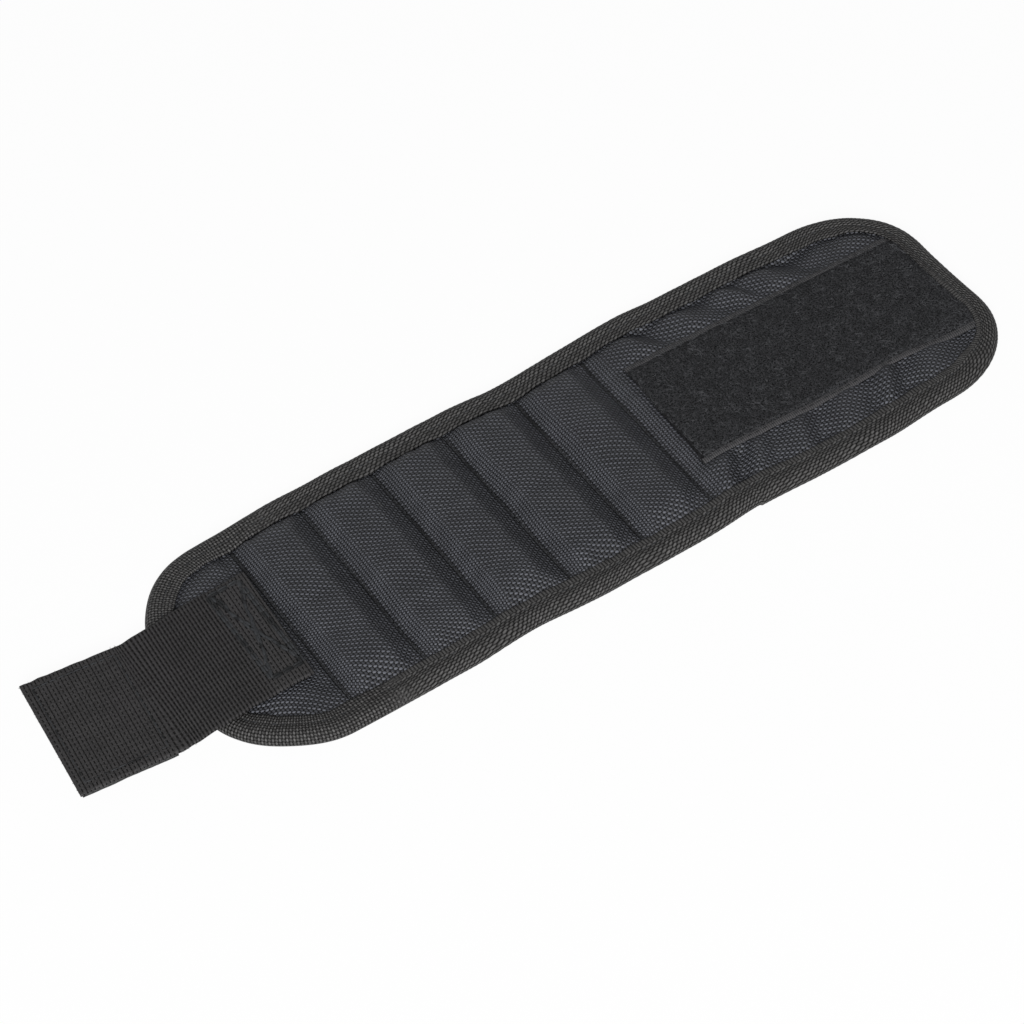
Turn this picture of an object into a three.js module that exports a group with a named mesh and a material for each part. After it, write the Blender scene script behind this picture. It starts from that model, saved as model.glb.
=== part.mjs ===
// Padded magnetic wristband, lying open with its outer face up and its lining on the ground.
// Millimetres, +X from the strap towards the loop patch, +Y across the band, +Z up.
import * as THREE from 'three';

// Outline of the band and its panels
const BAND_WIDTH = 95;
const CORNER_RADIUS = 34;
const LEFT_END_LENGTH = 38;
const POCKET_COUNT = 5;
const POCKET_PITCH = 25.5;
const PATCH_END_LENGTH = 114.5;
const PATCH_PART_COUNT = 3;

// Folded binding tape
const BINDING_WIDTH = 9;
const BINDING_WALL = 1;
const BINDING_BULGE = 3;

// Layers of the pad
const LINING_THICKNESS = 0.8;
const FACE_THICKNESS = 0.9;
const LEFT_FOAM = 3.5;
const POCKET_FOAM = 2.5;
const PATCH_FOAM = 3.6;
const EDGE_FOAM = 0.9;
const MAGNET_THICKNESS = 3;
const MAGNET_CORNER = 1.5;

// How the pad swells away from its edges and seams
const EDGE_RAMP = 8;
const SEAM_RAMP = 5;
const SEAM_HOLD = 0.35;
const TAPER_LENGTH = 26;

// Loop patch, webbing strap and hook tape
const LOOP_WIDTH = 50;
const LOOP_THICKNESS = 1.5;
const LOOP_SETBACK = 7;
const LOOP_ROUND = 1;
const WEBBING_WIDTH = 48;
const WEBBING_THICKNESS = 1.4;
const WEBBING_EDGE = 0.5;
const SEWN_LENGTH = 35.5;
const ROOT_LENGTH = 9.5;
const TIP_LENGTH = 31.5;
const ROOT_SLOPE_DEG = 8;
const TIP_YAW_DEG = 5;
const HOOK_THICKNESS = 1.6;
const HOOK_MARGIN = 1;

// Clearances
const LAYER_GAP = 0.3;
const FOLD_GAP = 0.9;
const MAGNET_CLEARANCE = 0.3;

// Mesh fineness
const FACE_STEPS = 4;
const PAD_STEPS = 2;
const ARC_STEPS = 10;
const BULGE_STEPS = 3;
const ROUND_STEPS = 2;

// Sizes that follow from the ones above
const HALF_WIDTH = BAND_WIDTH / 2;
const POCKETS_END = LEFT_END_LENGTH + POCKET_COUNT * POCKET_PITCH;
const BAND_LENGTH = POCKETS_END + PATCH_END_LENGTH;
const PATCH_PART_LENGTH = PATCH_END_LENGTH / PATCH_PART_COUNT;
const EDGE_START = BINDING_WIDTH + LAYER_GAP;
const EDGE_LEVEL = BINDING_WALL + LAYER_GAP;
const EDGE_STACK = LINING_THICKNESS + EDGE_FOAM + FACE_THICKNESS + 2 * LAYER_GAP;
const BINDING_HEIGHT = EDGE_STACK + 2 * EDGE_LEVEL;
const LEFT_TOP = LINING_THICKNESS + LEFT_FOAM + FACE_THICKNESS + 2 * LAYER_GAP;
const STRAP_BOTTOM = Math.max(BINDING_HEIGHT, LEFT_TOP) + LAYER_GAP;
const STRAP_TOP = STRAP_BOTTOM + WEBBING_THICKNESS;
const MAGNET_WIDTH = POCKET_PITCH - 2 * (SEAM_RAMP + MAGNET_CLEARANCE);
const MAGNET_LENGTH = BAND_WIDTH - 2 * (EDGE_START + EDGE_RAMP + MAGNET_CLEARANCE);
const MAGNET_BOTTOM = LINING_THICKNESS + POCKET_FOAM + 2 * LAYER_GAP;
const LOOP_END = BAND_LENGTH - EDGE_START;

const { smoothstep, degToRad } = THREE.MathUtils;

const finish = (color, roughness, metalness = 0) =>
  new THREE.MeshStandardMaterial({ color, roughness, metalness });
const FINISHES = {
  face: finish(0x3d3d41, 0.7),
  lining: finish(0x2b2b2e, 0.9),
  foam: finish(0x55555a, 1),
  magnet: finish(0x4a4a4c, 0.5, 0.6),
  binding: finish(0x414040, 0.75),
  loop: finish(0x2d2e2f, 1),
  webbing: finish(0x323132, 0.75),
  hook: finish(0x1f1f20, 0.6),
};

// Distance from a point inward to the rounded outline of the band.
function edgeDistance(x, y) {
  const qx = Math.abs(x - BAND_LENGTH / 2) - BAND_LENGTH / 2 + CORNER_RADIUS;
  const qy = Math.abs(y) - HALF_WIDTH + CORNER_RADIUS;
  const outside = Math.hypot(Math.max(qx, 0), Math.max(qy, 0));
  return CORNER_RADIUS - outside - Math.min(Math.max(qx, qy), 0);
}

// Half width at x of the outline drawn in by an inset.
function halfWidthAt(x, inset) {
  const beyond = Math.max(CORNER_RADIUS - x, x - BAND_LENGTH + CORNER_RADIUS, 0);
  const reach = CORNER_RADIUS - inset;
  return HALF_WIDTH - CORNER_RADIUS + Math.sqrt(Math.max(reach ** 2 - beyond ** 2, 0));
}

// Rise from the binding's inner edge to the flat of the pad, from 0 to 1.
function edgeRise(x, y) {
  return smoothstep(edgeDistance(x, y), EDGE_START, EDGE_START + EDGE_RAMP);
}

// Share of its full loft that a panel has at a point.
function loft(panel, x, y) {
  const fromSeam = panel.head === 'sewn' ? x - panel.from : SEAM_RAMP;
  const toSeam = panel.tail === 'sewn' ? panel.to - x : SEAM_RAMP;
  const rise = smoothstep(Math.min(fromSeam, toSeam), 0, SEAM_RAMP);
  const seam = SEAM_HOLD + (1 - SEAM_HOLD) * rise;
  const taper = smoothstep(BAND_LENGTH - x, EDGE_START, EDGE_START + TAPER_LENGTH);
  return edgeRise(x, y) * seam * taper;
}

// Heights of the layers, each one lying on the layer below it.
const liningBottom = (panel, x, y) => EDGE_LEVEL * (1 - edgeRise(x, y));
const liningTop = (panel, x, y) => liningBottom(panel, x, y) + LINING_THICKNESS;
const foamBottom = (panel, x, y) => liningTop(panel, x, y) + LAYER_GAP;
const foamTop = (panel, x, y) =>
  foamBottom(panel, x, y) + EDGE_FOAM + (panel.foam - EDGE_FOAM) * loft(panel, x, y);
const faceBottom = (panel, x, y) =>
  foamTop(panel, x, y) + LAYER_GAP + panel.magnetRoom * loft(panel, x, y);
const faceTop = (panel, x, y) => faceBottom(panel, x, y) + FACE_THICKNESS;
const loopBottom = (panel, x, y) => faceTop(panel, x, y) + LAYER_GAP;
const loopTop = (panel, x, y) => loopBottom(panel, x, y) + LOOP_THICKNESS;

// A closed mesh from points and triangles, turned so that its faces look outward.
function closedGeometry(points, index) {
  let volume = 0;
  for (let i = 0; i < index.length; i += 3) {
    const normal = points[index[i + 1]].clone().cross(points[index[i + 2]]);
    volume += points[index[i]].dot(normal);
  }
  const geometry = new THREE.BufferGeometry().setFromPoints(points);
  geometry.setIndex(volume > 0 ? index : index.reverse());
  geometry.computeVertexNormals();
  return geometry;
}

// A sheet between two height functions, over columns in x and rows that follow the outline.
function sheetGeometry(columns, rows, halfWidth, bottom, top) {
  const points = [];
  for (const height of [bottom, top]) {
    for (const x of columns) {
      for (const row of rows) {
        const y = row * halfWidth(x);
        points.push(new THREE.Vector3(x, y, height(x, y)));
      }
    }
  }
  const n = rows.length;
  const above = columns.length * n;
  const index = [];
  const quad = (a, b, c, d) => index.push(a, b, c, a, c, d);
  for (let i = 0; i + n < above; i += n) {
    for (let j = i; j + 1 < i + n; j += 1) {
      quad(j, j + 1, j + n + 1, j + n);
      quad(above + j, above + j + n, above + j + n + 1, above + j + 1);
    }
    const k = i + n - 1;
    quad(i, i + n, above + i + n, above + i);
    quad(k, above + k, above + k + n, k + n);
  }
  for (let j = 0; j + 1 < n; j += 1) {
    const k = above - n + j;
    quad(j, above + j, above + j + 1, j + 1);
    quad(k, k + 1, above + k + 1, above + k);
  }
  return closedGeometry(points, index);
}

// Rows across the band as shares of its half width, closest where the pad swells.
function rowsAcross(steps) {
  const insets = [BINDING_BULGE];
  for (let i = 0; i <= steps; i += 1) insets.push(EDGE_START + (EDGE_RAMP * i) / steps);
  const shares = insets.map((inset) => (HALF_WIDTH - inset) / (HALF_WIDTH - BINDING_BULGE));
  return [...shares.map((share) => -share), 0, ...shares.toReversed()];
}

// Columns along a panel, closest at its sewn seams and round the ends of the band.
function columnsAlong(panel, steps) {
  const spacing = { sewn: [], round: [], fold: [FOLD_GAP / 2] };
  for (let i = 0; i <= steps; i += 1) {
    spacing.sewn.push(FOLD_GAP / 2 + ((SEAM_RAMP - FOLD_GAP / 2) * i) / steps);
  }
  for (let i = 0; i <= ARC_STEPS; i += 1) {
    const turn = (Math.PI / 2) * (i / ARC_STEPS);
    spacing.round.push(CORNER_RADIUS - (CORNER_RADIUS - BINDING_BULGE) * Math.cos(turn));
  }
  const tail = spacing[panel.tail].map((d) => panel.to - d).reverse();
  const head = spacing[panel.head].map((d) => panel.from + d);
  return [...head.filter((x) => x < tail[0] - FOLD_GAP), ...tail];
}

// One layer of a panel, reaching into the fold of the binding.
function layerGeometry(panel, steps, bottom, top) {
  return sheetGeometry(
    columnsAlong(panel, steps),
    rowsAcross(steps),
    (x) => halfWidthAt(x, BINDING_BULGE),
    (x, y) => bottom(panel, x, y),
    (x, y) => top(panel, x, y),
  );
}

// The loop tape over one part of the patch end, trimmed to the binding's inner edge.
function loopGeometry(panel) {
  const start = Math.max(panel.from + FOLD_GAP / 2, POCKETS_END + LOOP_SETBACK);
  const end = Math.min(panel.to - FOLD_GAP / 2, LOOP_END);
  const between = columnsAlong(panel, PAD_STEPS).filter(
    (x) => x > start + LOOP_ROUND && x < end - 2 * LOOP_ROUND,
  );
  return sheetGeometry(
    [start, ...between, end - LOOP_ROUND, end],
    [-1, 0, 1],
    (x) => Math.min(LOOP_WIDTH / 2, halfWidthAt(x, EDGE_START)),
    (x, y) => loopBottom(panel, x, y),
    (x, y) => loopTop(panel, x, y),
  );
}

// Section of the folded tape: x runs inward from the outer edge, y runs up.
function bindingSection() {
  const half = BINDING_HEIGHT / 2;
  const inner = BINDING_BULGE - BINDING_WALL;
  const quarter = Math.PI / 2;
  const section = new THREE.Shape();
  section.moveTo(BINDING_WIDTH, 0);
  section.lineTo(BINDING_BULGE, 0);
  section.absellipse(BINDING_BULGE, half, BINDING_BULGE, half, -quarter, quarter, true);
  section.lineTo(BINDING_WIDTH, BINDING_HEIGHT);
  section.lineTo(BINDING_WIDTH, BINDING_HEIGHT - BINDING_WALL);
  section.lineTo(BINDING_BULGE, BINDING_HEIGHT - BINDING_WALL);
  section.absellipse(BINDING_BULGE, half, inner, half - BINDING_WALL, quarter, 3 * quarter, false);
  section.lineTo(BINDING_WIDTH, BINDING_WALL);
  const points = section.getPoints(BULGE_STEPS);
  return THREE.ShapeUtils.isClockWise(points) ? points.reverse() : points;
}

// The folded tape swept along stations of the outline and closed at both ends.
function bindingGeometry(stations) {
  const section = bindingSection();
  const points = stations.flatMap(({ at, inward }) =>
    section.map(({ x, y }) => new THREE.Vector3(at.x + inward.x * x, at.y + inward.y * x, y)),
  );
  const n = section.length;
  const last = points.length - n;
  const index = [];
  for (let i = 0; i < last; i += n) {
    for (let j = 0; j < n; j += 1) {
      const a = i + j;
      const b = i + ((j + 1) % n);
      index.push(a, b, b + n, a, b + n, a + n);
    }
  }
  for (const [a, b, c] of THREE.ShapeUtils.triangulateShape(section, [])) {
    index.push(c, b, a, last + a, last + b, last + c);
  }
  return closedGeometry(points, index);
}

// A station on one long edge of the band; side is 1 for the upper edge and -1 for the lower.
function edgeStation(x, side) {
  return { at: new THREE.Vector2(x, side * HALF_WIDTH), inward: new THREE.Vector2(0, -side) };
}

// Stations round an end of the band; end is -1 for the strap end and 1 for the patch end.
function endStations(seam, end) {
  const centreX = end < 0 ? CORNER_RADIUS : BAND_LENGTH - CORNER_RADIUS;
  const stations = [edgeStation(seam, 1)];
  for (const side of [1, -1]) {
    for (let i = 0; i <= ARC_STEPS; i += 1) {
      const turn = (Math.PI / 2) * (side > 0 ? i / ARC_STEPS : 1 - i / ARC_STEPS);
      const outward = new THREE.Vector2(end * Math.sin(turn), side * Math.cos(turn));
      const centre = new THREE.Vector2(centreX, side * (HALF_WIDTH - CORNER_RADIUS));
      const at = centre.addScaledVector(outward, CORNER_RADIUS);
      stations.push({ at, inward: outward.negate() });
    }
  }
  return [...stations, edgeStation(seam, -1)];
}

// A rectangle with rounded corners, centred on the origin.
function roundedShape(width, height, radius) {
  const x = width / 2 - radius;
  const y = height / 2 - radius;
  const quarter = Math.PI / 2;
  const shape = new THREE.Shape();
  shape.absarc(x, y, radius, 0, quarter);
  shape.absarc(-x, y, radius, quarter, 2 * quarter);
  shape.absarc(-x, -y, radius, 2 * quarter, 3 * quarter);
  shape.absarc(x, -y, radius, 3 * quarter, 4 * quarter);
  return shape;
}

// A shape pulled straight to a depth.
function pulled(shape, depth) {
  const options = { depth, bevelEnabled: false, curveSegments: ROUND_STEPS };
  return new THREE.ExtrudeGeometry(shape, options);
}

// Webbing from x = start to x = end, its top at z = 0.
function webbingGeometry(start, end) {
  const section = roundedShape(WEBBING_WIDTH, WEBBING_THICKNESS, WEBBING_EDGE);
  const axes = [new THREE.Vector3(0, 1, 0), new THREE.Vector3(0, 0, 1), new THREE.Vector3(1, 0, 0)];
  const geometry = pulled(section, end - start);
  geometry.applyMatrix4(new THREE.Matrix4().makeBasis(...axes));
  return geometry.translate(start, 0, -WEBBING_THICKNESS / 2);
}

// A flat piece of the strap's free end, which lies a little askew; its top at z = 0.
function tipGeometry(start, thickness) {
  const half = WEBBING_WIDTH / 2;
  const yaw = degToRad(TIP_YAW_DEG);
  const along = new THREE.Vector2(-Math.cos(yaw), Math.sin(yaw));
  const across = new THREE.Vector2(Math.sin(yaw), Math.cos(yaw));
  const tip = along.clone().multiplyScalar(TIP_LENGTH);
  const drift = Math.tan(yaw) * start;
  const shape = new THREE.Shape([
    new THREE.Vector2(-start, drift + half),
    tip.clone().addScaledVector(across, half),
    tip.clone().addScaledVector(across, -half),
    new THREE.Vector2(-start, drift - half),
  ]);
  return pulled(shape, thickness).translate(0, 0, -thickness);
}

const band = new THREE.Group();

function add(parent, name, geometry, look) {
  const mesh = new THREE.Mesh(geometry, FINISHES[look]);
  mesh.name = name;
  parent.add(mesh);
}

// Lining, foam and face of one panel
function addLayers(panel) {
  add(band, `${panel.name}_lining`, layerGeometry(panel, PAD_STEPS, liningBottom, liningTop), 'lining');
  add(band, `${panel.name}_foam`, layerGeometry(panel, PAD_STEPS, foamBottom, foamTop), 'foam');
  add(band, `${panel.name}_face`, layerGeometry(panel, FACE_STEPS, faceBottom, faceTop), 'face');
}

// Binding on both long edges of one panel
function addEdgeBindings(panel) {
  const [start, end] = [panel.from + FOLD_GAP / 2, panel.to - FOLD_GAP / 2];
  for (const [label, side] of [['upper', 1], ['lower', -1]]) {
    const stations = [edgeStation(start, side), edgeStation(end, side)];
    add(band, `${panel.name}_${label}_binding`, bindingGeometry(stations), 'binding');
  }
}

// Left end, with the strap sewn on top of it
const leftEnd = {
  name: 'left_end',
  from: 0,
  to: LEFT_END_LENGTH,
  head: 'round',
  tail: 'sewn',
  foam: LEFT_FOAM,
  magnetRoom: 0,
};
addLayers(leftEnd);
const leftStations = endStations(leftEnd.to - FOLD_GAP / 2, -1);
add(band, 'left_end_binding', bindingGeometry(leftStations), 'binding');
const sewnEnd = webbingGeometry(FOLD_GAP / 2, SEWN_LENGTH).translate(0, 0, STRAP_TOP);
add(band, 'strap_sewn_end', sewnEnd, 'webbing');

// Magnet pockets
for (let i = 0; i < POCKET_COUNT; i += 1) {
  const from = LEFT_END_LENGTH + i * POCKET_PITCH;
  const pocket = {
    name: `pocket_${i + 1}`,
    from,
    to: from + POCKET_PITCH,
    head: 'sewn',
    tail: 'sewn',
    foam: POCKET_FOAM,
    magnetRoom: MAGNET_THICKNESS + LAYER_GAP,
  };
  addLayers(pocket);
  const bar = pulled(roundedShape(MAGNET_WIDTH, MAGNET_LENGTH, MAGNET_CORNER), MAGNET_THICKNESS);
  bar.translate(from + POCKET_PITCH / 2, 0, MAGNET_BOTTOM);
  add(band, `${pocket.name}_magnet`, bar, 'magnet');
  addEdgeBindings(pocket);
}

// Patch end, parted where it folds round the wrist
for (let i = 0; i < PATCH_PART_COUNT; i += 1) {
  const from = POCKETS_END + i * PATCH_PART_LENGTH;
  const isLast = i + 1 === PATCH_PART_COUNT;
  const part = {
    name: `patch_${i + 1}`,
    from,
    to: from + PATCH_PART_LENGTH,
    head: i === 0 ? 'sewn' : 'fold',
    tail: isLast ? 'round' : 'fold',
    foam: PATCH_FOAM,
    magnetRoom: 0,
  };
  addLayers(part);
  add(band, `${part.name}_loop_tape`, loopGeometry(part), 'loop');
  if (isLast) {
    const stations = endStations(part.from + FOLD_GAP / 2, 1);
    add(band, `${part.name}_binding`, bindingGeometry(stations), 'binding');
  } else {
    addEdgeBindings(part);
  }
}

// Free strap: a short root that folds at the band's edge, then the tip with its hook tape
const strapRoot = new THREE.Group();
strapRoot.position.set(0, 0, STRAP_TOP);
strapRoot.rotation.y = -degToRad(ROOT_SLOPE_DEG);
band.add(strapRoot);
const root = webbingGeometry(FOLD_GAP / 2 - ROOT_LENGTH, -FOLD_GAP / 2);
add(strapRoot, 'strap_root', root, 'webbing');

const strapTip = new THREE.Group();
strapTip.position.set(-ROOT_LENGTH, 0, 0);
strapTip.rotation.y = -strapRoot.rotation.y;
strapRoot.add(strapTip);
add(strapTip, 'strap_tip', tipGeometry(FOLD_GAP / 2, WEBBING_THICKNESS), 'webbing');
const hook = tipGeometry(FOLD_GAP / 2 + HOOK_MARGIN, HOOK_THICKNESS);
add(strapTip, 'hook_tape', hook.translate(0, 0, -WEBBING_THICKNESS - LAYER_GAP), 'hook');

// The origin stands at the middle of the base of the whole part.
const part = new THREE.Group();
part.add(band);
const box = new THREE.Box3().setFromObject(part);
const centre = box.getCenter(new THREE.Vector3());
band.position.set(-centre.x, -centre.y, -box.min.z);
part.updateMatrixWorld(true);

export default part;
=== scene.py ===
"""Looks of the padded magnetic wristband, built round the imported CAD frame.

Shapes are worked out in millimetres on the band: x runs from the strap end, y across, z up from the lining.
"""
import math
from collections import namedtuple
from functools import reduce

import bpy
import numpy as np
from mathutils import Matrix, Vector


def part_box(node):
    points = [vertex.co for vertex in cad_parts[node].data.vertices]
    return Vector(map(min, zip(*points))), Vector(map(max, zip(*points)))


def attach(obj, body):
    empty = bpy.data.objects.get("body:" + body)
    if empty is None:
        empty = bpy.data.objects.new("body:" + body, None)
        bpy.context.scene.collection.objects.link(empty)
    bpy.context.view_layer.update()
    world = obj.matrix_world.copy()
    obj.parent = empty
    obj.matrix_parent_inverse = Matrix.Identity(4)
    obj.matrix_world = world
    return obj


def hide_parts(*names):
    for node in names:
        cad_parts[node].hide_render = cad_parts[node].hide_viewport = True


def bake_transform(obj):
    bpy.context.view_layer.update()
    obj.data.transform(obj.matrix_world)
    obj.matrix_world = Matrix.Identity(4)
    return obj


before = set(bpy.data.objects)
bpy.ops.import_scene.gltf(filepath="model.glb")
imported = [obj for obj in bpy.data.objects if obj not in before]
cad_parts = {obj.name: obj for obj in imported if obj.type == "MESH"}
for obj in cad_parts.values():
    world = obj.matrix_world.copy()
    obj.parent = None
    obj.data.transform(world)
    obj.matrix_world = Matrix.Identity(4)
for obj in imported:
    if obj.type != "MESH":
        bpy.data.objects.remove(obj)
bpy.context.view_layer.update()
BAND_START = -1000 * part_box("left_end_binding")[0].x

# Outline of the band, its seams and folds, and how far the cloth bends to each side of them
LENGTH, HALF, CORNER = 280.0, 47.5, 34.0
SEAMS = (38.0, 63.5, 89.0, 114.5, 140.0, 165.5)
FOLDS = (203.667, 241.833)
SEAM_REACH, FOLD_REACH = 5.0, 9.0
PANELS = ("left_end", *(f"pocket_{k}" for k in range(1, 6)), *(f"patch_{k}" for k in range(1, 4)))
Part = namedtuple("Part", "letter start stop before after hinge reach panels")


def dressed_parts():
    """Each dressed part bends over one hinge, from the middle of one panel to the middle of the next."""
    hinges = SEAMS + FOLDS
    cuts = [0.0, *(round((a + b) / 2, 2) for a, b in zip(hinges, hinges[1:])), LENGTH]
    for k, hinge in enumerate(hinges):
        reach = SEAM_REACH if hinge in SEAMS else FOLD_REACH
        panels = PANELS[k:] if hinge == hinges[-1] else PANELS[k:k + 1]
        yield Part("abcdefgh"[k], cuts[k], cuts[k + 1], PANELS[k], PANELS[k + 1], hinge, reach, panels)


PARTS = tuple(dressed_parts())
PAD_INSET, GRID_INSET = 3.0, 9.2
EDGE_TOP, EDGE_BOTTOM = 4.5, 1.3
VALLEY = 4.35
GROOVE = 5.65
RIB = 1.18


def row(points):
    """Band millimetres to the frame's metres."""
    moved = np.array(points, float) / 1000
    moved[..., 0] -= BAND_START / 1000
    return moved


def smooth(t):
    t = np.clip(t, 0, 1)
    return t * t * (3 - 2 * t)


def smooth_min(a, b, k):
    h = np.clip(0.5 + 0.5 * (b - a) / k, 0, 1)
    return b * (1 - h) + a * h - k * h * (1 - h)


def bump(t):
    return np.exp(-(t * t))


def ripple(x, y, wave, seed, count=14):
    """Seeded soft waves of about one wavelength, of unit spread."""
    rng = np.random.default_rng(seed)
    total = np.zeros(np.broadcast(x, y).shape)
    for turn, stretch, phase in rng.uniform((0, 0.7, 0), (2 * math.pi, 1.5, 2 * math.pi), (count, 3)):
        step = 2 * math.pi / (wave * stretch)
        total += np.sin((x * math.cos(turn) + y * math.sin(turn)) * step + phase)
    return total / math.sqrt(count / 2)


def running(steps):
    """Running totals from 0."""
    return np.concatenate([[0], np.cumsum(steps)])


# Mesh helpers

def added(name, data):
    """A new object in the scene."""
    obj = bpy.data.objects.new(name, data)
    bpy.context.scene.collection.objects.link(obj)
    return obj


def piece(name, points, faces, uv, materials, kinds=0, crease=None, **marks):
    """A mesh object in the frame from band millimetres, with a metric map for its weave.
    Edges sharper than crease degrees are shaded hard; marks are values that its material reads."""
    mesh = bpy.data.meshes.new(name)
    mesh.from_pydata(row(points), [], faces)
    loops = np.zeros(len(mesh.loops), np.int32)
    mesh.loops.foreach_get("vertex_index", loops)
    mesh.uv_layers.new(name="weave").data.foreach_set("uv", np.asarray(uv, np.float32)[loops].ravel())
    for material in materials:
        mesh.materials.append(material)
    kinds = np.broadcast_to(kinds, len(faces)).astype(np.int32)
    mesh.polygons.foreach_set("use_smooth", np.ones(len(faces), bool))
    mesh.polygons.foreach_set("material_index", kinds)
    for mark, values in marks.items():
        stored = mesh.attributes.new(mark, "FLOAT", "POINT")
        stored.data.foreach_set("value", np.asarray(values, np.float32))
    mesh.update()
    if crease is not None:
        mesh.set_sharp_from_angle(angle=math.radians(crease))
    return added(name, mesh)


def stacked(x, y, z):
    return np.stack([x, y, z], -1)


def quads_of(index):
    """Faces over a grid of point numbers."""
    return np.stack([index[:-1, :-1], index[1:, :-1], index[1:, 1:], index[:-1, 1:]], -1).reshape(-1, 4)


def slab(top, bottom, uv):
    """A closed sheet between two grids of points: its points, faces and map."""
    n, m = top.shape[:2]
    points = np.concatenate([top.reshape(-1, 3), bottom.reshape(-1, 3)])
    index = np.arange(n * m).reshape(n, m)
    quads = quads_of(index)
    rim = np.concatenate([index[:, 0], index[-1, 1:], index[-2::-1, -1], index[0, -2:0:-1]])
    after = np.roll(rim, -1)
    walls = np.stack([after, rim, rim + n * m, after + n * m], -1)
    faces = np.concatenate([quads, quads[:, ::-1] + n * m, walls])
    return points, faces, np.tile(uv.reshape(-1, 2), (2, 1))


def joined(*solids):
    """Several sets of points, faces and map as one."""
    sizes = np.cumsum([0] + [len(s[0]) for s in solids[:-1]])
    return (
        np.concatenate([s[0] for s in solids]),
        [tuple(np.asarray(f) + k) for s, k in zip(solids, sizes) for f in s[1]],
        np.concatenate([s[2] for s in solids]),
    )


def tubes(lines, radius, sides, uv):
    """Thin closed tubes along lines of points, shape (count, steps, 3); radius may vary by step."""
    lines = np.asarray(lines, float)
    count, steps = lines.shape[:2]
    along = np.gradient(lines, axis=1)
    along /= np.linalg.norm(along, axis=2, keepdims=True) + 1e-12
    helper = np.where(np.abs(along[:, :1, 2:]) < 0.9, (0.0, 0.0, 1.0), (1.0, 0.0, 0.0))
    across = np.cross(along, np.broadcast_to(helper, along.shape))
    across /= np.linalg.norm(across, axis=2, keepdims=True) + 1e-12
    over = np.cross(across, along)
    turn = np.linspace(0, 2 * math.pi, sides, endpoint=False)
    ring = across[:, :, None] * np.cos(turn)[:, None] + over[:, :, None] * np.sin(turn)[:, None]
    width = np.broadcast_to(np.asarray(radius, float), (count, steps))
    points = (lines[:, :, None] + ring * width[:, :, None, None]).reshape(-1, 3)
    index = np.arange(count * steps * sides).reshape(count, steps, sides)
    beside = np.roll(index, -1, 2)
    quads = np.stack([index[:, :-1], beside[:, :-1], beside[:, 1:], index[:, 1:]], -1).reshape(-1, 4)
    faces = quads.tolist() + index[:, 0, ::-1].tolist() + index[:, -1].tolist()
    maps = np.repeat(np.asarray(uv, float).reshape(count, 1, 2), steps * sides, 1).reshape(-1, 2)
    return points, faces, maps


# Forms of the pad

def edge_distance(x, y):
    qx = np.abs(x - LENGTH / 2) - LENGTH / 2 + CORNER
    qy = np.abs(y) - HALF + CORNER
    outside = np.hypot(np.maximum(qx, 0), np.maximum(qy, 0))
    return CORNER - outside - np.minimum(np.maximum(qx, qy), 0)


def half_width(x, inset):
    beyond = np.maximum(np.maximum(CORNER - x, x - LENGTH + CORNER), 0)
    return HALF - CORNER + np.sqrt(np.maximum((CORNER - inset) ** 2 - beyond**2, 0))


# Lengths round the outline, from the middle of the upper edge towards the strap
TOP_SIDE, QUARTER = LENGTH / 2 - CORNER, CORNER * math.pi / 2
LOWER = TOP_SIDE + 2 * QUARTER + 2 * (HALF - CORNER)
ROUND = 2 * (LOWER + TOP_SIDE)

# Where the binding's ends lap on the lower edge
LAP = 177.5


def lower_at(x):
    return LOWER + x - CORNER


def upper_at(x):
    return LENGTH / 2 - x


# Places along the sewn edge where it is drawn in and where it stands out, listed from the
# photograph with the straight outline laid over it. Each kind has one depth, and all have one reach.
CORNER_STOP = LENGTH - CORNER
LOWER_TUCK, UPPER_BULGE = 97.0, 183.0
STRAP_CORNER, PLAIN_CORNER = 0.4 * QUARTER, 0.7 * QUARTER
TUCKS = (
    upper_at(CORNER), upper_at(SEAMS[4]), upper_at(CORNER_STOP), lower_at(CORNER_STOP),
    lower_at(LAP), lower_at(LOWER_TUCK), lower_at(CORNER) - STRAP_CORNER,
)
BULGES = (upper_at(UPPER_BULGE), upper_at(CORNER_STOP) - PLAIN_CORNER, lower_at(CORNER_STOP) + PLAIN_CORNER)
DRAWN, TUCK, BULGE, REACH = 0.35, 1.5, 1.1, 14.0
SHIFT_DEPTH, SHIFT_EASE = 32, 20
SLIM, SLIM_START, SLIM_STOP, SLIM_EASE = 2.4, 472, 568, 14


def near(s, places):
    """How near a length along the outline is to some places: 1 at a place, and 0 well past the reach."""
    return sum(bump(((s - place + ROUND / 2) % ROUND - ROUND / 2) / REACH) for place in places)


def edge_shift(s):
    """How far the sewn edge stands out at a length along it, or is drawn in where it is below zero."""
    return BULGE * near(s, BULGES) - TUCK * near(s, TUCKS) - DRAWN


def nearest(x, y):
    """Length along the outline, and the outward direction, at the edge nearest to each place."""
    half = np.where(x < LENGTH / 2, 1.0, -1.0)
    x = LENGTH / 2 - np.abs(x - LENGTH / 2)
    cx, cy = np.maximum(x, CORNER), np.clip(y, CORNER - HALF, HALF - CORNER)
    outward = np.stack([np.minimum(x - cx, 0), y - cy + 1e-9], -1)
    outward /= np.linalg.norm(outward, axis=-1, keepdims=True)
    turn = np.arctan2(np.abs(outward[..., 0]), outward[..., 1])
    s = TOP_SIDE + CORNER * turn + HALF - CORNER - cy - (cx - CORNER) * np.sign(outward[..., 1])
    outward[..., 0] *= half
    return (s * half) % ROUND, outward


def pulled(solid):
    """A solid whose points move with the edge, less and less towards the middle of the band."""
    points, faces, uv = solid
    x, y = points[:, 0], points[:, 1]
    s, outward = nearest(x, y)
    shift = edge_shift(s) * smooth((SHIFT_DEPTH - edge_distance(x, y)) / SHIFT_EASE)
    return np.concatenate([points[:, :2] + outward * shift[:, None], points[:, 2:]], -1), faces, uv


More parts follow.
